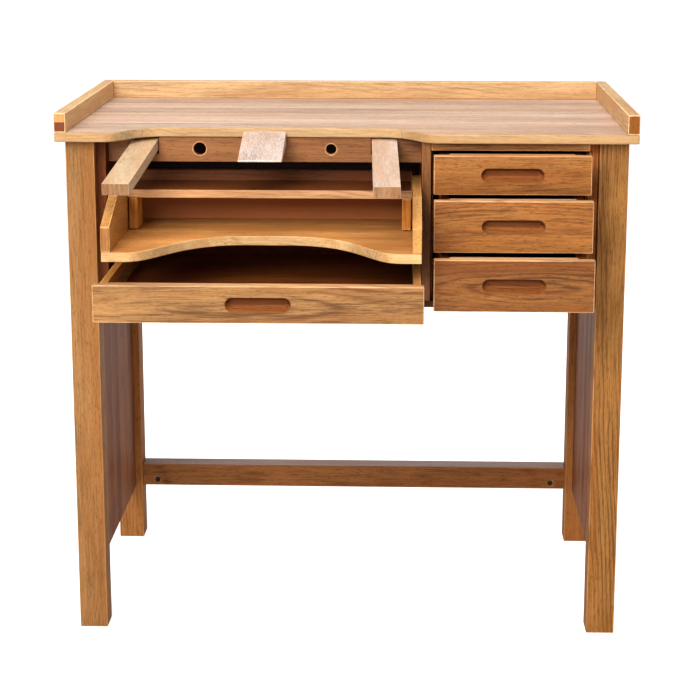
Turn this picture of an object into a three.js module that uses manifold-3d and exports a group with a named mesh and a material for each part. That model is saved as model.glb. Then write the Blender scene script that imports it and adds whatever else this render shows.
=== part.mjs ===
// A wooden jeweller's workbench: recessed top with rails, square legs, an apron that holds the bench pin
// and two pull-out armrests, a pull-out catch tray, one wide drawer and three small drawers.
// Millimetres, +Z up, the worker sits at -Y. Boards are placed in a bench frame whose X is 0 at mid width,
// Y is 0 at the top board's front edge and Z is 0 at the floor; the exported group shifts that frame so
// its origin is the middle of the object's footprint.
import * as THREE from "three";
import { mergeVertices } from "three/addons/utils/BufferGeometryUtils.js";
import Module from "manifold-3d";

const wasm = await Module();
wasm.setup();

// ---- driving dimensions ----
const GAP = 0.3; // glue line or resting gap between touching boards
const TOP = { width: 1000, depth: 560, thick: 16, surface: 912 };
const RAIL = { thick: 20, height: 34 };
const LEG = { size: 50, sideInset: 14, frontInset: 26 };
const PANEL = { thick: 14, inset: 14, bottom: 110 };
const STRETCHER = { depth: 44, height: 45, bottom: 113, nutX: 405, nutZ: 125, nutRadius: 5, holeRadius: 5.5 };
const RECESS = { centre: -130.5, halfOuter: 289.5, halfInner: 187.5, depth: 75 };
const APRON = { front: 80, thick: 18, height: 44 };
const BOARD = 16; // thickness of the upright carcass boards
const DIVIDER_LEFT = 131; // left face of the divider
const PARTITION_FACE = -419.5; // right face of the left partition, which stands against the legs
const SMALL_RIGHT_FACE = 419.5; // left face of the right partition
const CARCASS = { bottom: 604, back: 540, backThick: 12, bottomThick: 12 };
const UNDER_TOP = TOP.surface - TOP.thick - GAP; // top of everything fixed under the top board

// Finger pull milled into each drawer front.
const PULL = { width: 105, height: 22, depth: 11 };

// Small drawers from top to bottom: face bottom, face top, and how far each face stands proud of shut.
const SHUT_FACE = LEG.frontInset; // small faces shut flush with the divider's front edge
const SMALL_DRAWERS = [
  { name: "drawer_1", bottom: 812, top: 879, open: 51 },
  { name: "drawer_2", bottom: 721, top: 809.5, open: 99 },
  { name: "drawer_3", bottom: 630, top: 718.5, open: 148 },
];
const SMALL = { left: 150.7, right: 418.7, face: 16, inner: 12, side: 15.5, inset: 11, length: 430 };
const RUNNER = { ridge: 10, plate: 4, front: 50, back: 530, reach: 5.3, groove: 6.3, play: 0.8, stop: 2 };
const INNER_FRONT = 46; // front edges of both partitions, set back behind the legs

const WIDE = {
  left: -402.6, right: 134.2, bottom: 634, top: 696, shutFace: 7.5, open: 242.5,
  face: 18, side: 12, boxLeft: -395.5, boxRight: 129, length: 480,
};

const TRAY = {
  left: -393.5, right: 130, floor: 741, thick: 16, side: 15, front: -190, back: 147,
  sideTop: 820, noseTop: 783, slopeEnd: -93, backTop: 829, shelfFront: 15, shelfTop: 812, shelfThick: 14,
  postWidth: 15, postDepth: 58, postGap: 2.5, postLift: 2,
};
// Front edge of the tray: the two cheeks, then a curve in to the middle.
const TRAY_CURVE = { cheek: -356, cheekHandle: -300, wellHandle: -290, well: -165, wellY: -38 };

const ARM = { width: 44, thick: 19, reach: 324.5, droop: 7, pivotZ: 886, dowelRadius: 4, dowelPlay: 0.3 };
const ARMS = [
  { side: "left", x: -352, y: 122, toeOut: -2.4, travel: 262 },
  { side: "right", x: 64.8, y: 106, toeOut: 1.5, travel: 276 },
];
const GUIDE = { play: 1, cheek: 14, bottom: 868, groove: 6.5, grooveHalf: 4.6, bridge: 14, dowelIn: 6 };
const NOTCH = { width: 47, bottom: 864.7 };
const PIN = {
  left: -181, right: -106, backTop: 906, back: 74.6, front: -47, frontTop: 872.2, lip: 2.7,
  tenonBottom: 880, tenonTop: 895.4, tenonBack: 125, play: 0.6,
};
const MANDREL_HOLES = [
  { x: -258.5, radius: 11.5 },
  { x: -27.6, radius: 9.5 },
];
const MANDREL_Z = 874.5;

// ---- finishes ----
const finish = (color, roughness) => new THREE.MeshStandardMaterial({ color, roughness, metalness: 0 });
const honey = finish(0xc98f57, 0.4);
const pale = finish(0xe6c8a0, 0.55);
const rawWood = finish(0xe8d2bd, 0.8);
const tan = finish(0xb87b46, 0.4);
const darkWood = finish(0x6b4028, 0.5);
const steel = new THREE.MeshStandardMaterial({ color: 0x6f6a63, roughness: 0.35, metalness: 1 });

// ---- helpers ----
const bench = new THREE.Group();

function addMesh(name, geometry, material, parent = bench) {
  const mesh = new THREE.Mesh(geometry, material);
  mesh.name = name;
  parent.add(mesh);
  return mesh;
}

// Axis-aligned board from its six faces.
function board(x0, x1, y0, y1, z0, z1) {
  const geometry = new THREE.BoxGeometry(x1 - x0, y1 - y0, z1 - z0);
  return geometry.translate((x0 + x1) / 2, (y0 + y1) / 2, (z0 + z1) / 2);
}

const polygon = (points) => new THREE.Shape(points.map(([x, y]) => new THREE.Vector2(x, y)));

// A plan outline (X, Y) raised from z0 to z1.
function fromPlan(shape, z0, z1, curveSegments = 12) {
  const geometry = new THREE.ExtrudeGeometry(shape, { depth: z1 - z0, bevelEnabled: false, curveSegments });
  return geometry.translate(0, 0, z0);
}

// A side outline (Y, Z) spread from x0 to x1.
function fromSide(shape, x0, x1, curveSegments = 12) {
  const geometry = new THREE.ExtrudeGeometry(shape, { depth: x1 - x0, bevelEnabled: false, curveSegments });
  const turn = new THREE.Matrix4().makeBasis(
    new THREE.Vector3(0, 1, 0),
    new THREE.Vector3(0, 0, 1),
    new THREE.Vector3(1, 0, 0),
  );
  return geometry.applyMatrix4(turn).translate(x0, 0, 0);
}

// A front outline (X, Z) spread from y0 to y1.
function fromFront(shape, y0, y1, curveSegments = 12) {
  const geometry = new THREE.ExtrudeGeometry(shape, { depth: y1 - y0, bevelEnabled: false, curveSegments });
  return geometry.rotateX(Math.PI / 2).translate(0, y1, 0);
}

// A round bar or hole along Y.
function barAlongY(x, z, radius, y0, y1, sides = 24) {
  const geometry = new THREE.CylinderGeometry(radius, radius, y1 - y0, sides);
  return geometry.translate(x, (y0 + y1) / 2, z);
}

function solid(geometry) {
  const bare = geometry.clone();
  bare.deleteAttribute("normal");
  bare.deleteAttribute("uv");
  const merged = mergeVertices(bare, 1e-4);
  return new wasm.Manifold(
    new wasm.Mesh({
      numProp: 3,
      vertProperties: merged.attributes.position.array,
      triVerts: new Uint32Array(merged.index.array),
    }),
  );
}

// The first geometry with the others cut out of it.
function cut(geometry, ...tools) {
  const mesh = tools.reduce((left, tool) => left.subtract(solid(tool)), solid(geometry)).getMesh();
  const result = new THREE.BufferGeometry();
  result.setAttribute("position", new THREE.BufferAttribute(new Float32Array(mesh.vertProperties), 3));
  result.setIndex(new THREE.BufferAttribute(new Uint32Array(mesh.triVerts), 1));
  const flat = result.toNonIndexed();
  flat.computeVertexNormals();
  return flat;
}

// Slot with round ends, centred at (x, z), as a front outline.
function slotOutline(x, z, width, height) {
  const radius = height / 2;
  const half = width / 2 - radius;
  const outline = new THREE.Shape();
  outline.moveTo(x - half, z - radius);
  outline.lineTo(x + half, z - radius);
  outline.absarc(x + half, z, radius, -Math.PI / 2, Math.PI / 2, false);
  outline.lineTo(x - half, z + radius);
  outline.absarc(x - half, z, radius, Math.PI / 2, (3 * Math.PI) / 2, false);
  return outline;
}

// ---- top and rails ----
function buildTop() {
  const half = TOP.width / 2;
  const outline = new THREE.Shape();
  const outerLeft = RECESS.centre - RECESS.halfOuter;
  const outerRight = RECESS.centre + RECESS.halfOuter;
  const innerLeft = RECESS.centre - RECESS.halfInner;
  const innerRight = RECESS.centre + RECESS.halfInner;
  const outerHandle = 42; // how far each S-curve's handles reach
  const innerHandle = 64;
  outline.moveTo(-half, 0);
  outline.lineTo(outerLeft, 0);
  outline.bezierCurveTo(
    outerLeft + outerHandle, 0, innerLeft - innerHandle, RECESS.depth, innerLeft, RECESS.depth,
  );
  outline.lineTo(innerRight, RECESS.depth);
  outline.bezierCurveTo(
    innerRight + innerHandle, RECESS.depth, outerRight - outerHandle, 0, outerRight, 0,
  );
  outline.lineTo(half, 0);
  outline.lineTo(half, TOP.depth);
  outline.lineTo(-half, TOP.depth);
  outline.closePath();
  addMesh("bench_top", fromPlan(outline, TOP.surface - TOP.thick, TOP.surface, 14), pale);

  const low = TOP.surface + GAP;
  const high = TOP.surface + RAIL.height;
  const inner = half - RAIL.thick;
  addMesh("rail_left", board(-half, -inner, 0, TOP.depth, low, high), honey);
  addMesh("rail_right", board(inner, half, 0, TOP.depth, low, high), honey);
  const backFace = TOP.depth - RAIL.thick;
  addMesh("rail_back", board(-inner + GAP, inner - GAP, backFace, TOP.depth, low, high), honey);
}

// ---- legs, side panels and stretcher ----
const legOuter = TOP.width / 2 - LEG.sideInset;
const legInner = legOuter - LEG.size;
const frontLegBack = LEG.frontInset + LEG.size;
const backLegFront = TOP.depth - LEG.size;

function buildFrame() {
  for (const [side, sign] of [["left", -1], ["right", 1]]) {
    const x0 = Math.min(sign * legInner, sign * legOuter);
    const x1 = x0 + LEG.size;
    addMesh(`leg_front_${side}`, board(x0, x1, LEG.frontInset, frontLegBack, 0, UNDER_TOP), honey);
    addMesh(`leg_back_${side}`, board(x0, x1, backLegFront, TOP.depth, 0, UNDER_TOP), honey);
    const panelInner = sign * (legInner + PANEL.inset);
    const panelOuter = panelInner + sign * PANEL.thick;
    const p0 = Math.min(panelInner, panelOuter);
    const panel = board(
      p0, p0 + PANEL.thick, frontLegBack + GAP, backLegFront - GAP, PANEL.bottom, UNDER_TOP,
    );
    addMesh(`side_panel_${side}`, panel, darkWood);
  }

  const end = legInner - GAP;
  const beamFront = backLegFront;
  const holeDepth = 20;
  const nutFront = 4;
  const beam = board(
    -end, end, beamFront, beamFront + STRETCHER.depth,
    STRETCHER.bottom, STRETCHER.bottom + STRETCHER.height,
  );
  const holes = [-1, 1].map((sign) =>
    barAlongY(
      sign * STRETCHER.nutX, STRETCHER.nutZ, STRETCHER.holeRadius,
      beamFront - 1, beamFront + holeDepth, 16,
    ),
  );
  addMesh("stretcher", cut(beam, ...holes), honey);
  for (const [side, sign] of [["left", -1], ["right", 1]]) {
    const nut = barAlongY(
      sign * STRETCHER.nutX, STRETCHER.nutZ, STRETCHER.nutRadius,
      beamFront + nutFront, beamFront + holeDepth - GAP, 16,
    );
    addMesh(`stretcher_nut_${side}`, nut, steel);
  }
}

// ---- apron, bench pin and armrests ----
const turn = THREE.MathUtils.degToRad;

function buildApron() {
  const low = TOP.surface - TOP.thick - APRON.height;
  const back = APRON.front + APRON.thick;
  const middle = APRON.front + APRON.thick / 2;
  const past = 5; // how far each cutting tool runs past the board
  const body = board(
    PARTITION_FACE + GAP, DIVIDER_LEFT - GAP, APRON.front, back, low, UNDER_TOP,
  );
  const notches = ARMS.map((arm) => {
    const centre = arm.x + (arm.y - middle) * Math.tan(turn(arm.toeOut));
    return board(
      centre - NOTCH.width / 2, centre + NOTCH.width / 2,
      APRON.front - past, back + past, NOTCH.bottom, UNDER_TOP + past,
    );
  });
  const mortise = board(
    PIN.left - PIN.play, PIN.right + PIN.play,
    APRON.front - past, back + past, PIN.tenonBottom - PIN.play, UNDER_TOP + past,
  );
  const holes = MANDREL_HOLES.map((hole) =>
    barAlongY(hole.x, MANDREL_Z, hole.radius, APRON.front - past, back + past),
  );
  addMesh("apron", cut(body, ...notches, mortise, ...holes), honey);
}

function buildPin() {
  const outline = polygon([
    [PIN.tenonBack, PIN.tenonBottom],
    [PIN.tenonBack, PIN.tenonTop],
    [PIN.back, PIN.tenonTop],
    [PIN.back, PIN.backTop],
    [PIN.front, PIN.frontTop],
    [PIN.front, PIN.frontTop - PIN.lip],
    [APRON.front - GAP, PIN.tenonBottom],
  ]);
  addMesh("bench_pin", fromSide(outline, PIN.left, PIN.right), rawWood);
}

// One armrest in a frame at its cross dowel: Y runs back along the armrest.
function buildArm(arm) {
  const frame = new THREE.Group();
  frame.position.set(arm.x, arm.y, ARM.pivotZ);
  frame.rotation.z = turn(arm.toeOut);
  bench.add(frame);

  const heel = ARM.thick / 2;
  const outline = new THREE.Shape();
  outline.moveTo(-ARM.reach, -heel);
  outline.lineTo(0, -heel);
  outline.absarc(0, 0, heel, -Math.PI / 2, Math.PI / 2, false);
  outline.lineTo(-ARM.reach, heel);
  outline.closePath();
  const bore = new THREE.Path();
  bore.absarc(0, 0, ARM.dowelRadius + ARM.dowelPlay, 0, 2 * Math.PI, true);
  outline.holes.push(bore);
  const tilt = new THREE.Group();
  tilt.rotation.x = turn(ARM.droop);
  frame.add(tilt);
  addMesh(`armrest_${arm.side}`, fromSide(outline, -ARM.width / 2, ARM.width / 2, 8), pale, tilt);

  const innerFace = ARM.width / 2 + GUIDE.play;
  const dowelHalf = innerFace + GUIDE.dowelIn - GAP;
  const dowel = new THREE.CylinderGeometry(ARM.dowelRadius, ARM.dowelRadius, 2 * dowelHalf, 16);
  addMesh(`armrest_dowel_${arm.side}`, dowel.rotateZ(Math.PI / 2), tan, frame);

  // Grooved channel: two cheeks joined by a bridge at the rear end.
  const outerFace = innerFace + GUIDE.cheek;
  const lean = outerFace * Math.sin(Math.abs(turn(arm.toeOut)));
  const front = APRON.front + APRON.thick - arm.y + lean + 2 * GAP;
  const grooveEnd = arm.travel + ARM.dowelRadius + GUIDE.play;
  const slotEnd = arm.travel + heel + GUIDE.play;
  const rear = slotEnd + GUIDE.bridge;
  const channel = polygon([
    [-outerFace, front], [-innerFace, front], [-innerFace, slotEnd], [innerFace, slotEnd],
    [innerFace, front], [outerFace, front], [outerFace, rear], [-outerFace, rear],
  ]);
  const grooveFace = innerFace + GUIDE.groove;
  const groove = board(
    -grooveFace, grooveFace, front - 1, grooveEnd, -GUIDE.grooveHalf, GUIDE.grooveHalf,
  );
  const block = fromPlan(channel, GUIDE.bottom - ARM.pivotZ, UNDER_TOP - ARM.pivotZ);
  addMesh(`armrest_guide_${arm.side}`, cut(block, groove), darkWood, frame);
}

// ---- carcass ----
function buildCarcass() {
  const front = LEG.frontInset;
  const back = CARCASS.back - GAP;
  const floorTop = CARCASS.bottom + CARCASS.bottomThick;
  const upright = (x0, x1, y0, z0) => board(x0, x1, y0, back, z0, UNDER_TOP);
  addMesh("divider", upright(DIVIDER_LEFT, DIVIDER_LEFT + BOARD, front, floorTop + GAP), honey);
  addMesh(
    "partition_left",
    upright(GAP - legInner, PARTITION_FACE, INNER_FRONT, CARCASS.bottom), darkWood,
  );
  addMesh(
    "partition_right",
    upright(SMALL_RIGHT_FACE, legInner - GAP, INNER_FRONT, floorTop + GAP), darkWood,
  );
  addMesh(
    "cabinet_bottom",
    board(DIVIDER_LEFT, legInner - GAP, front, back, CARCASS.bottom, floorTop), darkWood,
  );
  const railBottom = 880.5;
  const railDepth = 18;
  const railLeft = DIVIDER_LEFT + BOARD + GAP;
  addMesh(
    "drawer_rail",
    board(railLeft, SMALL_RIGHT_FACE - GAP, front, front + railDepth, railBottom, UNDER_TOP), honey,
  );
  const backEnd = legInner - GAP;
  const backPanel = board(
    -backEnd, backEnd, CARCASS.back, CARCASS.back + CARCASS.backThick, CARCASS.bottom, UNDER_TOP,
  );
  addMesh("back_panel", backPanel, darkWood);
}

// Strips that carry the tray and the wide drawer, one under each side. The left ones are wider and
// have a fence that takes up the room between the partition and the drawers.
function buildRunners() {
  const width = 14;
  const front = 36;
  const back = CARCASS.back - 2 * GAP;
  const height = 18;
  const fenceHeight = 20;
  const wall = PARTITION_FACE + GAP;
  const fence = TRAY.left - 4;
  const ledge = fence + width;
  const right = DIVIDER_LEFT - GAP;
  const tops = [["tray", TRAY.floor - TRAY.thick - GAP], ["drawer", WIDE.bottom + 8 - GAP]];
  for (const [name, top] of tops) {
    const low = top - height;
    const outline = polygon([
      [wall, low], [ledge, low], [ledge, top],
      [fence, top], [fence, top + fenceHeight], [wall, top + fenceHeight],
    ]);
    addMesh(`${name}_runner_left`, fromFront(outline, front, back), tan);
    addMesh(`${name}_runner_right`, board(right - width, right, front, back, low, top), tan);
  }
}

// A runner board with one ridge for each small drawer, standing against an upright; sign is the way
// its ridges point along X.
function buildRunnerBoard(side, face, reachTo, sign) {
  const plateFace = face + sign * RUNNER.plate;
  const foot = CARCASS.bottom + CARCASS.bottomThick + GAP;
  const head = UNDER_TOP - 20;
  const points = [[face, foot], [plateFace, foot]];
  for (const drawer of [...SMALL_DRAWERS].reverse()) {
    const middle = (drawer.bottom + drawer.top) / 2;
    const half = RUNNER.ridge / 2;
    points.push([plateFace, middle - half], [reachTo, middle - half]);
    points.push([reachTo, middle + half], [plateFace, middle + half]);
  }
  points.push([plateFace, head], [face, head]);
  const outline = polygon(sign > 0 ? points : points.reverse());
  addMesh(`runner_board_${side}`, fromFront(outline, RUNNER.front, RUNNER.back), tan);
}

// ---- catch tray ----
function buildTray() {
  const inLeft = TRAY.left + TRAY.side;
  const inRight = TRAY.right - TRAY.side;
  const centre = RECESS.centre;
  const mirror = (x) => 2 * centre - x;
  const outline = new THREE.Shape();
  outline.moveTo(TRAY.left, TRAY.front);
  outline.lineTo(TRAY_CURVE.cheek, TRAY.front);
  outline.bezierCurveTo(
    TRAY_CURVE.cheekHandle, TRAY.front, TRAY_CURVE.wellHandle, TRAY_CURVE.wellY,
    TRAY_CURVE.well, TRAY_CURVE.wellY,
  );
  outline.lineTo(mirror(TRAY_CURVE.well), TRAY_CURVE.wellY);
  outline.bezierCurveTo(
    mirror(TRAY_CURVE.wellHandle), TRAY_CURVE.wellY, mirror(TRAY_CURVE.cheekHandle), TRAY.front,
    mirror(TRAY_CURVE.cheek), TRAY.front,
  );
  outline.lineTo(TRAY.right, TRAY.front);
  outline.lineTo(TRAY.right, TRAY.back);
  outline.lineTo(TRAY.left, TRAY.back);
  outline.closePath();
  addMesh("tray_bottom", fromPlan(outline, TRAY.floor - TRAY.thick, TRAY.floor, 14), honey);

  const base = TRAY.floor + GAP;
  const cheek = polygon([
    [TRAY.front, base], [TRAY.back, base], [TRAY.back, TRAY.sideTop],
    [TRAY.slopeEnd, TRAY.sideTop], [TRAY.front, TRAY.noseTop],
  ]);
  addMesh("tray_side_left", fromSide(cheek, TRAY.left, inLeft), honey);
  addMesh("tray_side_right", fromSide(cheek, inRight, TRAY.right), honey);
  const backFace = TRAY.back - TRAY.side;
  const x0 = inLeft + GAP;
  const x1 = inRight - GAP;
  addMesh("tray_back", board(x0, x1, backFace, TRAY.back, base, TRAY.backTop), tan);
  const shelfBottom = TRAY.shelfTop - TRAY.shelfThick;
  addMesh(
    "tray_shelf",
    board(x0, x1, TRAY.shelfFront, backFace - GAP, shelfBottom, TRAY.shelfTop), honey,
  );
  const postLow = TRAY.floor + TRAY.postLift;
  const post = (x) => board(
    x, x + TRAY.postWidth, TRAY.shelfFront, TRAY.shelfFront + TRAY.postDepth,
    postLow, shelfBottom - GAP,
  );
  addMesh("tray_post_left", post(inLeft + TRAY.postGap), honey);
  addMesh("tray_post_right", post(inRight - TRAY.postGap - TRAY.postWidth), honey);
}

// ---- drawers ----
// A drawer front: a face with a finger pull, stepped back at both ends behind which the sides fit.
function drawerFront(x0, x1, y, z0, z1, faceThick, innerThick, innerX0, innerX1) {
  const step = y + faceThick;
  const outline = polygon([
    [x0, y], [x1, y], [x1, step], [innerX1, step],
    [innerX1, step + innerThick], [innerX0, step + innerThick], [innerX0, step], [x0, step],
  ]);
  const pull = slotOutline((x0 + x1) / 2, (z0 + z1) / 2, PULL.width, PULL.height);
  return cut(fromPlan(outline, z0, z1), fromFront(pull, y - 1, y + PULL.depth, 8));
}

function buildSmallDrawer(drawer) {
  const face = SHUT_FACE - drawer.open;
  const sideLeft = SMALL.left + SMALL.inset;
  const sideRight = SMALL.right - SMALL.inset;
  const inLeft = sideLeft + SMALL.side;
  const inRight = sideRight - SMALL.side;
  const { bottom, top, name } = drawer;
  const front = drawerFront(
    SMALL.left, SMALL.right, face, bottom, top, SMALL.face, SMALL.inner, inLeft + GAP, inRight - GAP,
  );
  addMesh(`${name}_front`, front, tan);

  const sideFront = face + SMALL.face + GAP;
  const sideBack = sideFront + SMALL.length;
  const sideLow = bottom + 8;
  const sideHigh = top - 6;
  const middle = (bottom + top) / 2;
  const half = RUNNER.ridge / 2 + RUNNER.play;
  // Each groove stops behind the face, where the ridge's front end arrives when the drawer is shut.
  const grooveFront = RUNNER.front - RUNNER.stop - drawer.open;
  const groove = (x0, x1) => board(x0, x1, grooveFront, sideBack + 1, middle - half, middle + half);
  const leftSide = board(sideLeft, inLeft, sideFront, sideBack, sideLow, sideHigh);
  const rightSide = board(inRight, sideRight, sideFront, sideBack, sideLow, sideHigh);
  const leftGroove = groove(sideLeft - 1, sideLeft + RUNNER.groove);
  const rightGroove = groove(sideRight - RUNNER.groove, sideRight + 1);
  addMesh(`${name}_side_left`, cut(leftSide, leftGroove), tan);
  addMesh(`${name}_side_right`, cut(rightSide, rightGroove), tan);

  const backThick = 12;
  const floorThick = 6;
  const floorLow = bottom + 12;
  const innerBack = face + SMALL.face + SMALL.inner + GAP;
  addMesh(
    `${name}_back`,
    board(inLeft + GAP, inRight - GAP, sideBack - backThick, sideBack, sideLow, sideHigh - 4), tan,
  );
  addMesh(
    `${name}_bottom`,
    board(
      inLeft + GAP, inRight - GAP, innerBack, sideBack - backThick - GAP,
      floorLow, floorLow + floorThick,
    ),
    darkWood,
  );
}

function buildWideDrawer() {
  const face = WIDE.shutFace - WIDE.open;
  const inLeft = WIDE.boxLeft + WIDE.side;
  const inRight = WIDE.boxRight - WIDE.side;
  const innerThick = 6;
  const front = drawerFront(
    WIDE.left, WIDE.right, face, WIDE.bottom, WIDE.top, WIDE.face, innerThick,
    inLeft + GAP, inRight - GAP,
  );
  addMesh("wide_drawer_front", front, honey);
  const sideFront = face + WIDE.face + GAP;
  const sideBack = sideFront + WIDE.length;
  const low = WIDE.bottom + 8;
  const high = WIDE.top - 4;
  addMesh("wide_drawer_side_left", board(WIDE.boxLeft, inLeft, sideFront, sideBack, low, high), honey);
  addMesh("wide_drawer_side_right", board(inRight, WIDE.boxRight, sideFront, sideBack, low, high), honey);
  const backFace = sideBack - WIDE.side;
  addMesh("wide_drawer_back", board(inLeft + GAP, inRight - GAP, backFace, sideBack, low, high - 6), tan);
  const floorLow = low + 4;
  addMesh(
    "wide_drawer_bottom",
    board(
      inLeft + GAP, inRight - GAP, face + WIDE.face + innerThick + GAP, backFace - GAP,
      floorLow, floorLow + 6,
    ),
    darkWood,
  );
}

buildTop();
buildFrame();
buildApron();
buildPin();
ARMS.forEach(buildArm);
buildCarcass();
buildRunners();
const boardLeft = DIVIDER_LEFT + BOARD + GAP;
const boardRight = SMALL_RIGHT_FACE - GAP;
buildRunnerBoard("left", boardLeft, SMALL.left + SMALL.inset + RUNNER.reach, 1);
buildRunnerBoard("right", boardRight, SMALL.right - SMALL.inset - RUNNER.reach, -1);
buildTray();
buildWideDrawer();
SMALL_DRAWERS.forEach(buildSmallDrawer);

// The wide drawer's face is the foremost point and the back legs the rearmost.
bench.position.y = -(WIDE.shutFace - WIDE.open + TOP.depth) / 2;
const group = new THREE.Group();
group.add(bench);

export default group;
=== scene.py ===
import math
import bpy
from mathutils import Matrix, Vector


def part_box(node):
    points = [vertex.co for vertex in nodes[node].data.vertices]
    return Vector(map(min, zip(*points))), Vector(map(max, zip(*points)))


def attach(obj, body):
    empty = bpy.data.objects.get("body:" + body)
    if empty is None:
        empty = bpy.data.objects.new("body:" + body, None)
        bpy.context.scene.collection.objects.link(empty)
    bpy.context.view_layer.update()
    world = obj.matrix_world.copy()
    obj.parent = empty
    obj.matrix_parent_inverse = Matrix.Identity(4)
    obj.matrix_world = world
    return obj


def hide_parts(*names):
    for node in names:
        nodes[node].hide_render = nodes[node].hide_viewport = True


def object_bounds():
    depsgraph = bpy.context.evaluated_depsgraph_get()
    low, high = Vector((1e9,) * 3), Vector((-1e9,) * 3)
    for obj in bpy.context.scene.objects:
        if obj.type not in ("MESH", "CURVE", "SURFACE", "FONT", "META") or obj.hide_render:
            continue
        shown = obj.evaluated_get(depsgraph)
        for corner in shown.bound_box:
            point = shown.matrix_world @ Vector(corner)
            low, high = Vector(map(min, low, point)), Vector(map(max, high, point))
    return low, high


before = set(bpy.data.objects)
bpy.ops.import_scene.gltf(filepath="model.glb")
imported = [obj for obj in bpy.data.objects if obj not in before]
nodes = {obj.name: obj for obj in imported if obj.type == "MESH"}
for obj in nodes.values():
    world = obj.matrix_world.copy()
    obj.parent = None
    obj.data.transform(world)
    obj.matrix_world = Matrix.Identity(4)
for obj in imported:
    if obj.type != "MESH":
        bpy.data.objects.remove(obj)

import zlib

import bpy
import bmesh
from mathutils import Euler, Vector

cad_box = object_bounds()
MM = 0.001
PLAIN, WEAR_AND_HIGHLIGHT, EXTRA = 0, 1, 2    # places in a piece's material list
FACING = 0.9                # a normal that reaches this along an axis is turned that way
GAP = 0.3 * MM              # between boards that touch


def spread(name, span=1.0):
    """A fixed number from 0 to span for each name."""
    return (zlib.crc32(name.encode()) % 10007) / 10007 * span


# ---- materials ----
def srgb(r, g, b):
    """Linear colour from 0-255 display values."""
    def channel(c):
        c /= 255
        return c / 12.92 if c <= 0.04045 else ((c + 0.055) / 1.055) ** 2.4
    return (channel(r), channel(g), channel(b), 1.0)


class Nodes:
    """Short-hand for building one material's node tree."""

    def __init__(self, name):
        self.material = bpy.data.materials.new(name)
        self.material.use_nodes = True
        self.tree = self.material.node_tree
        self.tree.nodes.clear()

    def add(self, kind, inputs=None, **props):
        node = self.tree.nodes.new("ShaderNode" + kind)
        for key, value in props.items():
            setattr(node, key, value)
        for key, value in (inputs or {}).items():
            if isinstance(value, bpy.types.NodeSocket):
                self.tree.links.new(value, node.inputs[key])
            else:
                node.inputs[key].default_value = value
        return node

    def math(self, operation, a, b=0.0, c=0.0):
        return self.add("Math", {0: a, 1: b, 2: c}, operation=operation).outputs[0]

    def centred(self, value, gain, base=0.0):
        """A value round one half, turned into gain times its distance from there, plus base."""
        return self.math("MULTIPLY_ADD", self.math("SUBTRACT", value, 0.5), gain, base)

    def vector(self, operation, a, b):
        return self.add("VectorMath", {0: a, 1: b}, operation=operation).outputs[0]

    def noise(self, place, scales, detail=3.0, rough=0.55, output=0):
        """Noise with its own scale along each axis: output 0 is a value, output 1 a vector."""
        vector = self.vector("MULTIPLY", place, scales)
        inputs = {"Vector": vector, "Scale": 1.0, "Detail": detail, "Roughness": rough}
        return self.add("TexNoise", inputs).outputs[output]

    def remap(self, value, low, high, to_low=0.0, to_high=1.0):
        inputs = {0: value, 1: low, 2: high, 3: to_low, 4: to_high}
        return self.add("MapRange", inputs, clamp=True).outputs[0]

    def mix(self, factor, a, b):
        node = self.add("Mix", data_type="RGBA")
        for socket, value in ((node.inputs[0], factor), (node.inputs[6], a), (node.inputs[7], b)):
            if isinstance(value, bpy.types.NodeSocket):
                self.tree.links.new(value, socket)
            else:
                socket.default_value = value
        return node.outputs[2]


def toned(tone, factors):
    """A colour with its red, green and blue multiplied by three factors."""
    return tuple(c * k for c, k in zip(tone, factors)) + (1.0,)


AXES = {"x": "xyz", "y": "yxz", "z": "zxy"}     # grain axis, then the two across it
# Scales of the noises in a board, per metre: (along the grain, across it, across it).
WANDER = (2.2, 7.0, 7.0)                # slow bending of all the figure
PATCHES = (2.0, 11.0, 11.0)
STREAKS = (5.0, 90.0, 90.0)
LINES = (16.0, 420.0, 420.0)
FIGURE = (3.0, 9.0, 9.0)                # where the growth rings show
PORES = (90.0, 560.0, 560.0)
HUES = (1.3, 26.0, 26.0)                # where the wood turns ruddy
BEND = (0.0, 0.03, 0.03)                # how far the figure is bent, m
JOINT_HALF = 0.7 * MM                   # half the width of a glue line
SEAM_HALF = 0.3 * MM                    # half the blend at the top of a darker lower part
LIGHTEST = 0.38                         # how much lighter than its tone a board gets
DARKEST = (0.55, 0.62, 0.66)            # how much red, green and blue its dark streaks lose
DEEP = (0.36, 0.24, 0.18)               # tone of pores, glue lines and shaded hollows
RUDDY = (0.92, 0.66, 0.42)
made_materials = {}


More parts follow.
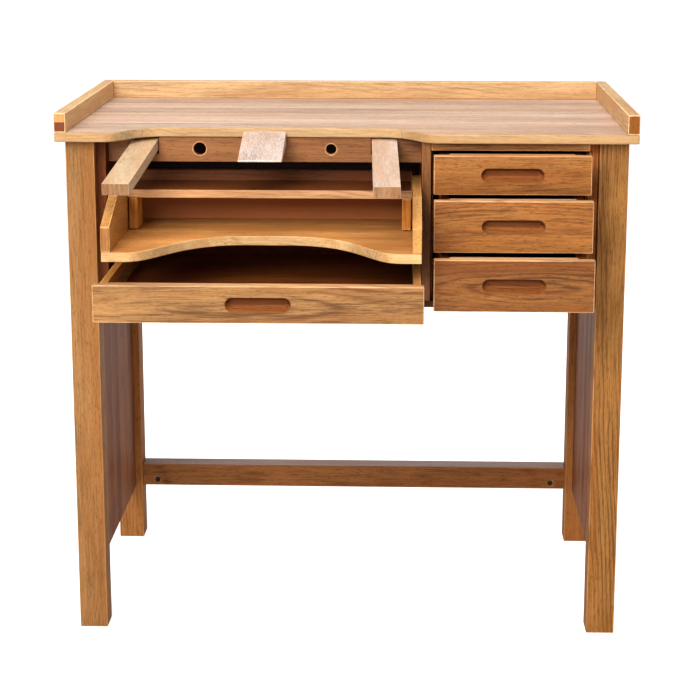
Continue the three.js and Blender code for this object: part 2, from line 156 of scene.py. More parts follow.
def wood(name, tone, along="x", contrast=1.0, patches=0.6, streaks=1.0, rings=0.3, pores=0.6,
         roughness=0.42, coat=0.05, ring_width=6.0, staves=None, stave_tone=0.5,
         heart=None, vary=0.2, lower=None, specular=0.2, painted_underside_shade=False):
    """Varnished timber of one mean tone, its grain along one axis.

    contrast, patches, streaks, rings and pores set how strongly each part of the figure shows,
    ring_width is in mm, and vary is how far boards of one finish differ. staves = (axis, width,
    start) glues the board up from strips that differ by stave_tone. heart is the point the rings
    close round, and lower = (height, tone) recolours everything below a height. The last flag
    paints the colour darker wherever the wood faces downwards: painted shade."""
    if name in made_materials:
        return made_materials[name]
    n = Nodes(name)
    seed = spread(name, 9.0)
    place = n.add("SeparateXYZ", {0: n.add("TexCoord").outputs["Object"]}).outputs
    chance = n.add("ObjectInfo").outputs["Random"]
    grain_axis, across_axis, deep_axis = ("xyz".index(axis) for axis in AXES[along])
    # Every board, and every stave of a board, is cut from its own place in the timber.
    length = n.math("MULTIPLY_ADD", chance, 7.0, place[grain_axis])
    length = n.math("ADD", length, seed)
    across = n.math("MULTIPLY_ADD", chance, 3.1, place[across_axis])
    deep = place[deep_axis]
    tone_shift = n.centred(chance, vary)
    joint = None
    if staves:
        axis, width, start = staves
        count = n.math("DIVIDE", n.math("SUBTRACT", place["xyz".index(axis)], start), width)
        index = n.math("FLOOR", count)
        within = n.math("FRACT", count)
        pick = n.add("TexWhiteNoise", {"W": n.math("ADD", index, seed)}, noise_dimensions="1D")
        length = n.math("MULTIPLY_ADD", pick.outputs[0], 5.0, length)
        across = n.math("MULTIPLY_ADD", index, 0.73, across)
        tone_shift = n.centred(pick.outputs[0], stave_tone, tone_shift)
        off_middle = n.math("ABSOLUTE", n.math("SUBTRACT", within, 0.5))
        joint = n.remap(off_middle, 0.5 - JOINT_HALF / width, 0.5)
    point = n.add("CombineXYZ", {0: length, 1: across, 2: deep}).outputs[0]

    wander = n.vector("SUBTRACT", n.noise(point, WANDER, 2.0, output=1), (0.5, 0.5, 0.5))
    bend = n.vector("MULTIPLY", wander, BEND)
    warped = n.vector("ADD", point, bend)
    patch = n.noise(warped, PATCHES, 2.0)
    streak = n.noise(warped, STREAKS, 3.0, 0.6)
    line = n.noise(warped, LINES, 2.0, 0.6)
    figure = n.remap(n.noise(point, FIGURE, 1.0), 0.4, 0.65)
    pore = n.remap(n.noise(warped, PORES, 2.0, 0.6), 0.54, 0.70)
    if heart:
        on_board = {0: place[grain_axis], 1: place[across_axis], 2: deep}
        from_heart = n.vector("ADD", n.add("CombineXYZ", on_board).outputs[0], bend)
        heart_point = tuple(heart["xyz".index(axis)] for axis in AXES[along])
        from_heart = n.vector("SUBTRACT", from_heart, heart_point)
        ring_place = n.vector("MULTIPLY", from_heart, (0.1, 1.0, 1.0))
    else:
        ring_place = n.vector("MULTIPLY", warped, (0.12, 1.0, 1.0))
    ring_inputs = {                     # at scale 1, this texture's rings are pi / 10 wide
        "Vector": ring_place, "Scale": math.pi / 10 / (ring_width * MM),
        "Distortion": 3.0, "Detail": 3.0, "Detail Scale": 0.35, "Detail Roughness": 0.6,
    }
    ring = n.add("TexWave", ring_inputs, wave_type="RINGS", rings_direction="SPHERICAL",
                 wave_profile="SIN").outputs["Fac"]
    ring = n.math("MULTIPLY", n.math("POWER", ring, 4.0), figure)

    value = n.centred(patch, 2.0 * patches, 0.5)
    value = n.centred(streak, 0.7 * streaks, value)
    value = n.centred(line, 1.35 * streaks, value)
    value = n.math("SUBTRACT", value, n.math("MULTIPLY", ring, rings))
    value = n.math("ADD", value, tone_shift)
    ramp = n.add("ValToRGB", {0: value})
    stops = ramp.color_ramp.elements
    stops[0].position, stops[0].color = 0.05, toned(tone, [1.0 - k * contrast for k in DARKEST])
    stops[1].position, stops[1].color = 0.95, toned(tone, [1.0 + LIGHTEST * contrast] * 3)
    stops.new(0.5).color = tone
    deep_dark = toned(tone, DEEP)
    hue = n.remap(n.noise(warped, HUES), 0.42, 0.66)
    colour = n.mix(n.math("MULTIPLY", hue, 0.65), ramp.outputs[0], toned(tone, RUDDY))
    colour = n.mix(n.math("MULTIPLY", pore, pores), colour, deep_dark)
    if lower:
        seam, low_tone = lower
        under = n.remap(place[2], seam + SEAM_HALF, seam - SEAM_HALF)
        colour = n.mix(under, colour, low_tone)
    # Painted shade: darker wherever the surface faces downwards, as under the top lip of a finger
    # pull.
    if painted_underside_shade:
        upward = n.add("SeparateXYZ", {0: n.add("NewGeometry").outputs["Normal"]}).outputs[2]
        colour = n.mix(n.remap(upward, 0.35, -0.2, 0.0, 0.95), colour, deep_dark)
    relief = n.math("MULTIPLY_ADD", pore, -1.0, n.math("MULTIPLY", line, 0.8))
    if joint is not None:
        colour = n.mix(n.math("MULTIPLY", joint, 0.55), colour, deep_dark)
        relief = n.math("SUBTRACT", relief, joint)

    bump = n.add("Bump", {"Height": relief, "Strength": 0.25, "Distance": 0.6 * MM}).outputs[0]
    shader = n.add("BsdfPrincipled", {
        "Base Color": colour, "Roughness": n.centred(streak, 0.25, roughness), "Normal": bump,
        "Specular IOR Level": specular, "Coat Weight": coat, "Coat Roughness": 0.22,
    })
    n.add("OutputMaterial", {0: shader.outputs[0]})
    made_materials[name] = n.material
    return n.material


def metal(name, colour, roughness):
    """Dull steel with fine, mottled wear."""
    n = Nodes(name)
    marks = n.noise(n.add("TexCoord").outputs["Object"], (900.0, 900.0, 900.0))
    tint = n.mix(marks, colour, toned(colour, (0.6, 0.6, 0.6)))
    bump = n.add("Bump", {"Height": marks, "Strength": 0.2, "Distance": 0.3 * MM}).outputs[0]
    gloss = n.math("MULTIPLY_ADD", marks, 0.3, roughness)
    shader = n.add("BsdfPrincipled", {
        "Base Color": tint, "Roughness": gloss, "Normal": bump, "Metallic": 1.0,
    })
    n.add("OutputMaterial", {0: shader.outputs[0]})
    return n.material


SHELF_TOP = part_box("tray_shelf")[1].z       # the tray's back is painted darker above its shelf, as painted shade under the apron
# The left rail's front end shows two boards, one on the other, with the seam near its middle.
RAIL_SEAM = (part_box("rail_left")[0].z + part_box("rail_left")[1].z) / 2 + 1 * MM
INNER = srgb(122, 66, 26)   # hidden sides of the drawers, and the runners
DARK = srgb(80, 46, 28)     # boards that stand in shadow
DULL = dict(coat=0.0, roughness=0.6, specular=0.1)
RAIL_FACE = dict(contrast=0.75, pores=0.35, coat=0.0, specular=0.15, roughness=0.55,
                 slot="varnished_wood")
ARM_FACE = dict(along="y", rings=0.2, roughness=0.5, pores=0.3, slot="armrest_wood")

# edge is the tone of the rubbed edges, which is also a painted highlight, and slot is the piece's
# named material slot.
FINISHES = {
    "leg_back": dict(tone=srgb(160, 106, 56), along="z", vary=0.08, slot="varnished_wood",
                     **DULL),
    "leg": dict(tone=srgb(150, 108, 64), along="z", vary=0.08, rings=0.15, contrast=0.9,
                edge=srgb(176, 128, 78), slot="varnished_wood", **DULL),
    "leg_streaky": dict(tone=srgb(146, 98, 48), along="z", rings=0.75, contrast=0.95, patches=0.35,
                        ring_width=7.0, vary=0.0, edge=srgb(178, 122, 72),
                        slot="varnished_wood", **DULL),
    "rail_x": dict(tone=srgb(200, 162, 116), along="x", **RAIL_FACE),
    "rail_y": dict(tone=srgb(206, 169, 122), along="y", **RAIL_FACE),
    "rail_end": dict(tone=srgb(136, 80, 24), along="z", streaks=0.5, slot="varnished_wood"),
    "rail_end_left": dict(tone=srgb(202, 154, 98), along="z", streaks=0.5,
                          lower=(RAIL_SEAM, srgb(110, 56, 27)), slot="varnished_wood"),
    # The top's pale, greyed tone is partly its paler wood and partly a painted sheen of the white
    # room on it.
    "top": dict(tone=srgb(198, 170, 149), along="x", coat=0.0, specular=0.12, roughness=0.6,
                staves=("y", 0.078, -0.1005), contrast=0.7, vary=0.0, stave_tone=0.25,
                edge=srgb(188, 159, 118), slot="top_wood"),
    "drawer_rail": dict(tone=srgb(190, 134, 76), along="x", slot="varnished_wood"),
    "divider": dict(tone=srgb(134, 90, 51), along="z", slot="varnished_wood"),
    "apron": dict(tone=srgb(137, 89, 49), along="x", vary=0.0, slot="varnished_wood"),
    "rim": dict(tone=srgb(206, 160, 112), along="x", slot="varnished_wood"),
    "stretcher": dict(tone=srgb(137, 86, 44), along="x", specular=0.1, coat=0.0,
                      slot="varnished_wood"),
    "side": dict(tone=srgb(186, 134, 70), along="y", slot="varnished_wood"),
    "tray_floor": dict(tone=srgb(200, 140, 77), along="x", edge=srgb(200, 162, 112),
                       slot="varnished_wood"),
    # Painted shade: the shelf's top is given a very dark tone for the shadow under the apron, while
    # its front face takes the paler edge tone.
    "shelf": dict(tone=srgb(94, 47, 10), along="x", edge=srgb(194, 148, 104),
                  slot="varnished_wood"),
    # Painted shade: the tray's back is dark above its shelf, where it stands in shadow under the
    # apron; below the shelf it has its lighter tone.
    "tray_back": dict(tone=srgb(104, 56, 24), lower=(SHELF_TOP, srgb(176, 104, 54)), along="x",
                      coat=0.0, specular=0.15, vary=0.0, slot="varnished_wood"),
    "post": dict(tone=srgb(220, 152, 66), along="z", slot="varnished_wood"),
    "face_small": dict(tone=srgb(144, 91, 40), along="x", pores=0.8, rings=0.45, contrast=1.1,
                       vary=0.0, edge=srgb(206, 158, 112), slot="drawer_front_wood"),
    "face_wide": dict(tone=srgb(152, 108, 62), along="x", rings=0.38, ring_width=8.0, vary=0.0,
                      contrast=1.1, edge=srgb(208, 164, 118), slot="varnished_wood"),
    # The pull's hollow gets painted shade on its down-facing upper wall.
    "pull": dict(tone=srgb(140, 84, 40), along="x", vary=0.0, painted_underside_shade=True,
                 slot="drawer_front_wood", **DULL),
    # Painted shade: the left partition is given a far darker tone than the right one, for the shade
    # it stands in beside the left leg and arm.
    "partition_left": dict(tone=srgb(86, 42, 15), edge=srgb(120, 70, 34), along="z",
                           slot="dark_wood", **DULL),
    "partition_right": dict(tone=srgb(190, 114, 53), along="z", slot="dark_wood", **DULL),
    "inner_x": dict(tone=INNER, along="x", slot="inner_wood", **DULL),
    "inner_y": dict(tone=INNER, along="y", slot="inner_wood", **DULL),
    "back": dict(tone=srgb(122, 78, 50), along="x", slot="dark_wood", **DULL),
    # Painted shadow: near-black tone for the back panel's front face, seen in shade through the gap
    # under the apron.
    "sooty": dict(tone=srgb(34, 19, 13), along="x", slot="dark_wood", **DULL),
    "dark_x": dict(tone=DARK, along="x", slot="dark_wood", **DULL),
    "dark_y": dict(tone=DARK, along="y", slot="dark_wood", **DULL),
    "panel": dict(tone=srgb(142, 88, 54), along="z", streaks=1.3, vary=0.0,
                  staves=("y", 0.042, -0.1), slot="dark_wood", **DULL),
    "arm": dict(tone=srgb(203, 181, 165), contrast=0.6, edge=srgb(232, 206, 178), **ARM_FACE),
    # Painted shade: the left armrest is given a darker tone than the right one, to offset the key
    # light that falls on it from the left.
    "arm_left": dict(tone=srgb(192, 163, 130), contrast=0.7, edge=srgb(226, 196, 160),
                     **ARM_FACE),
    "arm_end": dict(tone=srgb(146, 106, 72), along="z", coat=0.0, roughness=0.6, contrast=0.8,
                    slot="armrest_wood"),
    "side_end": dict(tone=srgb(158, 108, 58), along="z", slot="varnished_wood"),
    "raw": dict(tone=srgb(196, 176, 164), along="y", rings=0.15, coat=0.0, roughness=0.7,
                contrast=0.7, pores=0.35, slot="raw_wood"),
}


def finish(key, wear_and_highlight=False, heart=None, level=1.0):
    """The material of one finish, or the paler version on its rubbed edges, which is also a painted
    highlight. A board with a heart has a material of its own, which a level other than 1 makes
    lighter or darker."""
    settings = {k: v for k, v in FINISHES[key].items() if k not in ("slot", "edge")}
    settings["tone"] = toned(settings["tone"], (level, level, level))
    name = key
    if heart:
        settings["heart"] = heart
        name += "_%03d" % round(1000 * sum(heart) % 1000)
    if wear_and_highlight:
        lighter = tuple(min(0.9, c * 1.3 + 0.02) for c in settings["tone"])
        settings["tone"] = FINISHES[key].get("edge", lighter)
        settings["pores"] = settings.get("pores", 0.6) * 0.5
        name += "_edge"
    return wood(name, **settings)


# ---- geometry helpers ----
SMOOTH_BELOW = math.radians(34)     # edges that turn less than this are shaded smooth
ROUND_ABOVE = math.radians(40)      # edges that turn more than this are rounded
ROUND_STEPS = 3


def shade(bm):
    for face in bm.faces:
        face.smooth = True
    for edge in bm.edges:
        if edge.is_manifold and edge.calc_face_angle(0.0) > SMOOTH_BELOW:
            edge.smooth = False


def mesh_object(bm, name):
    """An object in the scene from a bmesh, which is freed."""
    mesh = bpy.data.meshes.new(name)
    bm.to_mesh(mesh)
    bm.free()
    piece = bpy.data.objects.new(name, mesh)
    bpy.context.scene.collection.objects.link(piece)
    return piece


def to_object(bm, name, key, heart=None, level=1.0):
    """A shown piece from a bmesh, with its finish."""
    bmesh.ops.recalc_face_normals(bm, faces=bm.faces)
    shade(bm)
    piece = mesh_object(bm, name)
    piece.data.materials.append(finish(key, heart=heart, level=level))
    piece.data.materials.append(finish(key, wear_and_highlight=True))
    return piece


def settle(piece, key, body, *replaced):
    """Ride and, where it stands for CAD nodes, hide them."""
    weighted = piece.modifiers.new("flat_faces", "WEIGHTED_NORMAL")
    weighted.keep_sharp = True
    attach(piece, body)
    if replaced:
        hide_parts(*replaced)


def slab(outline, z0, z1, side_material=PLAIN):
    """A bmesh plate from a plan outline, raised from z0 to z1."""
    bm = bmesh.new()
    low = [bm.verts.new((x, y, z0)) for x, y in outline]
    high = [bm.verts.new((x, y, z1)) for x, y in outline]
    bm.faces.new(list(reversed(low)))
    bm.faces.new(high)
    for i in range(len(outline)):
        j = (i + 1) % len(outline)
        bm.faces.new((low[i], low[j], high[j], high[i])).material_index = side_material
    return bm


def soften(bm, width):
    """Rounds the sharp edges, in the pale edge material: wear and a painted highlight."""
    bm.normal_update()
    edges = [e for e in bm.edges if e.is_manifold and e.calc_face_angle(0.0) > ROUND_ABOVE]
    bmesh.ops.bevel(bm, geom=edges, offset=width, segments=ROUND_STEPS, profile=0.5,
                    affect="EDGES", clamp_overlap=True, material=WEAR_AND_HIGHLIGHT)


def bezier(*corners, steps=36):
    """Points of the cubic curve with four control corners, its first point included."""
    points = [corners[0]]
    for i in range(1, steps + 1):
        t = i / steps
        weights = ((1 - t) ** 3, 3 * (1 - t) ** 2 * t, 3 * (1 - t) * t * t, t ** 3)
        points.append(tuple(
            sum(w * corner[axis] for w, corner in zip(weights, corners)) for axis in (0, 1)
        ))
    return points


def carve(piece, cutter):
    """Cuts one mesh object out of another, keeps both objects' materials and deletes the cutter."""
    cut = piece.modifiers.new("cut", "BOOLEAN")
    cut.operation, cut.solver, cut.object = "DIFFERENCE", "EXACT", cutter
    graph = bpy.context.evaluated_depsgraph_get()
    result = bpy.data.meshes.new_from_object(piece.evaluated_get(graph))
    piece.modifiers.remove(cut)
    materials = list(piece.data.materials)
    bm = bmesh.new()
    bm.from_mesh(result)
    shade(bm)
    bm.to_mesh(result)
    bm.free()
    slots = [face.material_index for face in result.polygons]
    piece.data = result
    result.materials.clear()
    for material in materials:
        result.materials.append(material)
    result.polygons.foreach_set("material_index", slots)
    bpy.data.objects.remove(cutter)


# ---- top board and catch tray floor ----
# Plan outlines in mm, with Y from the front edge of the top. Both curves are mirrored about the
# middle of the recess, and the rest of each outline is its CAD node's box.
BENCH_SHIFT = -162.5                        # Y of that front edge in the shared frame
RECESS_CENTRE = -130.5                      # X of the middle of the recess
RECESS_DEPTH = 75.0
RECESS_OUTER, RECESS_INNER = 289.5, 187.5   # where each S-curve starts and ends, from the middle
OUTER_HANDLE, INNER_HANDLE = 42.0, 64.0     # how long the curve keeps its direction there
TOP_ROUNDING = 2.2 * MM
CHEEK, CHEEK_HANDLE = -356.0, -300.0        # X where the tray's curve starts, and its handle
WELL, WELL_HANDLE = -165.0, -290.0          # X where it reaches the bottom of the bay
WELL_Y = -38.0
TRAY_ROUNDING = 1.4 * MM


def curved_board(node, curve, name, key, body, rounding):
    """A board as large as its CAD node's box, its front edge a curve and the curve's mirror."""
    lo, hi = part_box(node)
    left, right = lo.x / MM, hi.x / MM
    front, back = lo.y / MM - BENCH_SHIFT, hi.y / MM - BENCH_SHIFT
    mirror = [(2 * RECESS_CENTRE - x, y) for x, y in reversed(curve)]
    outline = [(left, front), *curve, *mirror, (right, front), (right, back), (left, back)]
    plan = [(x * MM, (y + BENCH_SHIFT) * MM) for x, y in outline]
    bm = slab(plan, lo.z, hi.z, side_material=WEAR_AND_HIGHLIGHT)
    soften(bm, rounding)
    settle(to_object(bm, name, key), key, body, node)


def make_top():
    outer, inner = RECESS_CENTRE - RECESS_OUTER, RECESS_CENTRE - RECESS_INNER
    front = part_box("bench_top")[0].y / MM - BENCH_SHIFT
    curve = bezier((outer, front), (outer + OUTER_HANDLE, front),
                   (inner - INNER_HANDLE, RECESS_DEPTH), (inner, RECESS_DEPTH))
    curved_board("bench_top", curve, "top_board", "top", "bench", TOP_ROUNDING)


def make_tray_floor():
    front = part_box("tray_bottom")[0].y / MM - BENCH_SHIFT
    curve = bezier((CHEEK, front), (CHEEK_HANDLE, front), (WELL_HANDLE, WELL_Y), (WELL, WELL_Y))
    curved_board("tray_bottom", curve, "tray_floor", "tray_floor", "tray", TRAY_ROUNDING)


# ---- drawer fronts with finger pulls ----
PULL_WIDTH, PULL_HEIGHT, PULL_DEPTH = 105 * MM, 22 * MM, 14 * MM
RIM = 1.3 * MM                  # rounding of the pull's rim
LIP_TOP, LIP_BOTTOM = 4 * MM, 8 * MM    # how far in the wall runs at the pull's top and bottom
END_STEPS, WALL_STEPS = 24, 12  # facets round each half-circle end, and down the wall
WALL_END = 0.985                # how far in the last facet of the wall runs, of half the height
WALL_BUNCHING = 1.4             # above 1, the facets are closer together near the rim
CLEARANCE = 3 * MM              # how far the cutter stands out of the board
FACE_ROUNDING = 1.6 * MM
HEART_DEPTH, HEART_DROP = 14 * MM, 6 * MM   # of the rings' middle, from the face and its centre
WIDE_FACE, SMALL_FACE = 18 * MM, 16 * MM    # thickness of the part that covers the sides
SMALL_DRAWERS = (("drawer_1", 1.0), ("drawer_2", 1.15), ("drawer_3", 0.82))    # and their tone


def wall_depth(inset, dz):
    """How deep the pull's wall is where it has run in by inset. dz is -1 at the pull's bottom edge
    and 1 at its top edge."""
    wall = LIP_BOTTOM + (LIP_TOP - LIP_BOTTOM) * (dz + 1) / 2
    return RIM + (PULL_DEPTH - RIM) * math.sin(min(1.0, inset / wall) * math.pi / 2)


def pull_cutter(cx, face, cz):
    """The hollow of a finger pull: steep under its top edge and scooped up at the bottom."""
    radius = PULL_HEIGHT / 2
    half = PULL_WIDTH / 2 - radius
    angles = [math.pi * (i / END_STEPS - 0.5) for i in range(END_STEPS + 1)]
    directions = [(half, math.cos(a), math.sin(a)) for a in angles]
    directions += [(-half, -math.cos(a), -math.sin(a)) for a in angles]
    rows = [(-RIM, -CLEARANCE), (-RIM, 0.0), (-0.45 * RIM, 0.25 * RIM), (0.0, RIM)]
    rows += [(radius * WALL_END * (k / WALL_STEPS) ** WALL_BUNCHING, None)
             for k in range(1, WALL_STEPS + 1)]
    bm = bmesh.new()
    verts = []
    for inset, deep in rows:
        verts.append([bm.verts.new((
            cx + end + (radius - inset) * dx,
            face + (wall_depth(inset, dz) if deep is None else deep),
            cz + (radius - inset) * dz,
        )) for end, dx, dz in directions])
    for outer, inner in zip(verts, verts[1:]):
        for i in range(len(directions)):
            j = (i + 1) % len(directions)
            bm.faces.new((outer[i], outer[j], inner[j], inner[i]))
    bm.faces.new(list(reversed(verts[0])))
    bm.faces.new(verts[-1])
    bmesh.ops.recalc_face_normals(bm, faces=bm.faces)
    for face in bm.faces:
        face.material_index = EXTRA
    cutter = mesh_object(bm, "cutter")
    for _ in (PLAIN, WEAR_AND_HIGHLIGHT, EXTRA):
        cutter.data.materials.append(finish("pull"))
    return cutter


def make_front(drawer, key, face_thick, level=1.0):
    """A front stepped back at its ends, softened all round, with its finger pull cut in."""
    node = drawer + "_front"
    lo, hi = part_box(node)
    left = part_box(drawer + "_side_left")[1].x + GAP
    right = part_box(drawer + "_side_right")[0].x - GAP
    step = lo.y + face_thick
    outline = [
        (lo.x, lo.y), (hi.x, lo.y), (hi.x, step), (right, step),
        (right, hi.y), (left, hi.y), (left, step), (lo.x, step),
    ]
    bm = slab(outline, lo.z, hi.z)
    bm.normal_update()
    # Painted light: the front's top face gets the pale edge material, lighter than it renders in
    # the shade of the drawer or rail above it.
    for face in bm.faces:
        if face.normal.z > FACING:
            face.material_index = WEAR_AND_HIGHLIGHT      # painted light: the top face takes the pale edge tone all along
    soften(bm, FACE_ROUNDING)
    middle_x, middle_z = (lo.x + hi.x) / 2, (lo.z + hi.z) / 2
    off_centre = (spread(drawer) - 0.5) * 0.5 * (hi.x - lo.x)
    heart = (middle_x + off_centre, lo.y + HEART_DEPTH, middle_z - HEART_DROP)
    piece = to_object(bm, drawer + "_face", key, heart, level)
    piece.data.materials.append(finish("pull"))
    carve(piece, pull_cutter(middle_x, lo.y, middle_z))
    settle(piece, key, drawer, node)


# ---- boards that keep their CAD shape ----
BOARD_FINISH = {
    "rail_left": "rail_y", "rail_right": "rail_y", "rail_back": "rail_x",
    "leg_front_left": "leg", "leg_front_right": "leg_streaky",
    "leg_back_left": "leg_back", "leg_back_right": "leg_back",
    "side_panel_left": "panel", "side_panel_right": "panel",
    "stretcher": "stretcher", "apron": "apron", "divider": "divider",
    "partition_left": "partition_left", "partition_right": "partition_right",
    "drawer_rail": "drawer_rail",
    "cabinet_bottom": "dark_x", "back_panel": "back",
    "tray_runner_left": "inner_y", "tray_runner_right": "inner_y",
    "drawer_runner_left": "inner_y", "drawer_runner_right": "inner_y",
    "runner_board_left": "inner_y", "runner_board_right": "inner_y",
    "armrest_guide_left": "dark_y", "armrest_guide_right": "dark_y",
    "armrest_left": "arm_left", "armrest_right": "arm",
    "armrest_dowel_left": "arm", "armrest_dowel_right": "arm",
    "bench_pin": "raw",
    "tray_side_left": "side", "tray_side_right": "side", "tray_back": "tray_back",
    "tray_shelf": "shelf", "tray_post_left": "post", "tray_post_right": "post",
    "wide_drawer_side_left": "side", "wide_drawer_side_right": "side",
    "wide_drawer_back": "inner_x", "wide_drawer_bottom": "inner_x",
}
for number in (1, 2, 3):
    for part in ("side_left", "side_right"):
        BOARD_FINISH[f"drawer_{number}_{part}"] = "inner_y"
    for part in ("back", "bottom"):
        BOARD_FINISH[f"drawer_{number}_{part}"] = "inner_x"
FRONT_FINISH = {                # faces turned to the front that differ from the rest of the board
    "rail_left": finish("rail_end_left"), "rail_right": finish("rail_end"),
    "tray_shelf": finish("shelf", wear_and_highlight=True),
    "armrest_left": finish("arm_end"), "armrest_right": finish("arm_end"),
    # The back panel's front face gets a near-black painted shadow.
    "tray_side_left": finish("side_end"), "back_panel": finish("sooty"),
}
EDGE_ROUNDING = {"bench_pin": 2.0, "armrest_left": 2.2, "armrest_right": 2.2, "stretcher": 2.0,
                 "apron": 1.2}
DEFAULT_ROUNDING = 1.5
WELD_REACH = 0.01 * MM          # joins the CAD mesh's faces, so that its edges can be rounded


def dress_boards():
    for node, key in BOARD_FINISH.items():
        board = nodes[node]
        board.data.materials.clear()
        board.data.materials.append(finish(key))
        board.data.materials.append(finish(key, wear_and_highlight=True))
        if node in FRONT_FINISH:
            board.data.materials.append(FRONT_FINISH[node])
            for face in board.data.polygons:
                if face.normal.y < -FACING:
                    face.material_index = EXTRA
        weld = board.modifiers.new("joined_faces", "WELD")
        weld.merge_threshold = WELD_REACH
        bevel = board.modifiers.new("rounded_edges", "BEVEL")
        bevel.width = EDGE_ROUNDING.get(node, DEFAULT_ROUNDING) * MM
        bevel.segments = ROUND_STEPS
        bevel.limit_method = "ANGLE"
        bevel.angle_limit = ROUND_ABOVE
        bevel.material = WEAR_AND_HIGHLIGHT


# ---- small parts ----
MANDREL_HOLES = (("left", -258.5, 11.5), ("right", -27.6, 9.5))    # X and radius, mm
MANDREL_HEIGHT = 874.5


def turned(name, profile, key, body, centre, *replaced, sides=40):
    """A piece turned about a line along Y. profile is (radius, depth) from front to back, and one
    that ends where it starts makes a ring."""
    bm = bmesh.new()
    rings = []
    for radius, deep in profile:
        ring = []
        for i in range(sides):
            a = 2 * math.pi * i / sides
            ring.append(bm.verts.new((
                centre.x + radius * math.cos(a), centre.y + deep, centre.z + radius * math.sin(a),
            )))
        rings.append(ring)
    for front, back in zip(rings, rings[1:]):
        for i in range(sides):
            j = (i + 1) % sides
            bm.faces.new((front[i], front[j], back[j], back[i]))
    if profile[0] == profile[-1]:
        bmesh.ops.remove_doubles(bm, verts=bm.verts, dist=1e-6)
    else:
        bm.faces.new(rings[0])
        bm.faces.new(list(reversed(rings[-1])))
    piece = to_object(bm, name, key)
    settle(piece, key, body, *replaced)
    return piece


def make_hole_rims():
    """Pale rubbed rims round the two mandrel holes in the apron."""
    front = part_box("apron")[0].y
    for side, x, radius in MANDREL_HOLES:
        profile = [(radius - 0.4, 3.0), (radius - 0.4, 0.8), (radius + 0.4, -0.2),
                   (radius + 1.5, -0.3), (radius + 1.8, 0.1), (radius + 0.1, 3.0)]
        profile = [(r * MM, deep * MM) for r, deep in profile]
        centre = Vector((x * MM, front, MANDREL_HEIGHT * MM))
        turned(f"mandrel_rim_{side}", profile + profile[:1], "rim", "bench", centre)


def make_nuts():
    steel = metal("nut_steel", (0.06, 0.055, 0.05, 1.0), 0.4)
    for side in ("left", "right"):
        node = f"stretcher_nut_{side}"
        lo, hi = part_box(node)
        r = (hi.x - lo.x) / 2
        depth = hi.y - lo.y
        hollow = 0.55 * r
        profile = [
            (hollow * 0.4, 3.2 * MM), (hollow, 2.6 * MM), (hollow, 0.5 * MM),
            (hollow + 0.4 * MM, 0.0), (r - 0.7 * MM, 0.0), (r, 0.7 * MM),
            (r, depth - 0.5 * MM), (r - 0.5 * MM, depth),
        ]
        centre = Vector(((lo.x + hi.x) / 2, lo.y, (lo.z + hi.z) / 2))
        nut = turned(f"cross_nut_{side}", profile, "arm", "bench", centre, node)
        nut.data.materials.clear()
        nut.data.materials.append(steel)


# ---- floor, lights and camera ----
FLOOR_REACH = 14.0          # half the floor's width, m
FLOOR_GLOW = 0.74           # lifts the paper to white for the camera only
SKY_LEVEL, SKY_SEEN = 0.34, 1.05    # soft light from all round, and the white that is seen there


def make_floor():
    bm = bmesh.new()
    corners = [(-1, -1), (1, -1), (1, 1), (-1, 1)]
    bm.faces.new([bm.verts.new((x * FLOOR_REACH, y * FLOOR_REACH, cad_box[0].z))
                  for x, y in corners])
    floor = mesh_object(bm, "floor")
    n = Nodes("floor_paper")
    seen = n.add("LightPath").outputs["Is Camera Ray"]
    glow = n.math("MULTIPLY", seen, FLOOR_GLOW)
    shader = n.add("BsdfPrincipled", {
        "Base Color": (0.93, 0.93, 0.93, 1.0), "Roughness": 0.9, "Specular IOR Level": 0.0,
        "Emission Color": (1.0, 1.0, 1.0, 1.0), "Emission Strength": glow,
    })
    n.add("OutputMaterial", {0: shader.outputs[0]})
    floor.data.materials.append(n.material)


def area_light(name, place, target, size, power):
    light = bpy.data.lights.new(name, "AREA")
    light.shape, light.size, light.energy = "SQUARE", size, power
    lamp = bpy.data.objects.new(name, light)
    lamp.location = place
    lamp.rotation_euler = (Vector(target) - Vector(place)).to_track_quat("-Z", "Y").to_euler()
    bpy.context.scene.collection.objects.link(lamp)


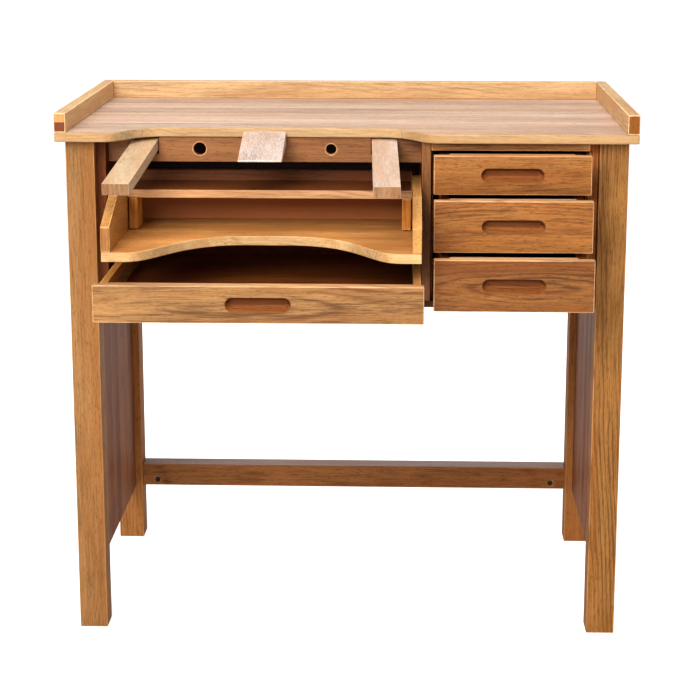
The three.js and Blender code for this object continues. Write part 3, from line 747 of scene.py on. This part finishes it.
def light_studio():
    world = bpy.data.worlds.new("studio")
    world.use_nodes = True
    tree = world.node_tree
    background = tree.nodes["Background"]
    background.inputs["Color"].default_value = (1.0, 1.0, 1.0, 1.0)
    seen = tree.nodes.new("ShaderNodeLightPath").outputs["Is Camera Ray"]
    level = tree.nodes.new("ShaderNodeMapRange")
    level.inputs["To Min"].default_value = SKY_LEVEL
    level.inputs["To Max"].default_value = SKY_SEEN
    tree.links.new(seen, level.inputs["Value"])
    tree.links.new(level.outputs[0], background.inputs["Strength"])
    bpy.context.scene.world = world
    drawers, legs = (0.0, 0.0, 0.8), (0.0, 0.0, 0.6)
    area_light("key", (-1.0, -2.9, 2.45), drawers, 1.9, 158.0)
    area_light("fill", (2.6, -2.2, 1.5), drawers, 1.8, 16.0)
    area_light("overhead", (0.0, -0.1, 3.2), drawers, 2.2, 40.0)
    area_light("back", (0.0, 2.8, 0.8), legs, 1.5, 17.0)


CAMERA_PLACE = (0.0999, -3.3146, 1.3253)
CAMERA_YAW, CAMERA_PITCH = 1.86, 12.44      # degrees to the left and down from +Y
SENSOR_WIDTH = 36.0                         # mm
FOCAL_WIDTHS = 2.701744                     # focal length, as a multiple of the sensor's width
SHIFT_Y = -0.07


def make_camera():
    data = bpy.data.cameras.new("camera")
    data.sensor_width = SENSOR_WIDTH
    data.lens = FOCAL_WIDTHS * SENSOR_WIDTH
    data.shift_y = SHIFT_Y
    camera = bpy.data.objects.new("camera", data)
    camera.location = CAMERA_PLACE
    tilt = math.radians(90.0 - CAMERA_PITCH)
    camera.rotation_euler = Euler((tilt, 0.0, math.radians(CAMERA_YAW)))
    bpy.context.scene.collection.objects.link(camera)
    bpy.context.scene.camera = camera


bpy.context.scene.view_settings.view_transform = "Standard"
make_camera()
light_studio()
make_floor()
dress_boards()
make_top()
make_tray_floor()
make_front("wide_drawer", "face_wide", WIDE_FACE)
for drawer, level in SMALL_DRAWERS:
    make_front(drawer, "face_small", SMALL_FACE, level)
make_hole_rims()
make_nuts()

bpy.context.view_layer.update()
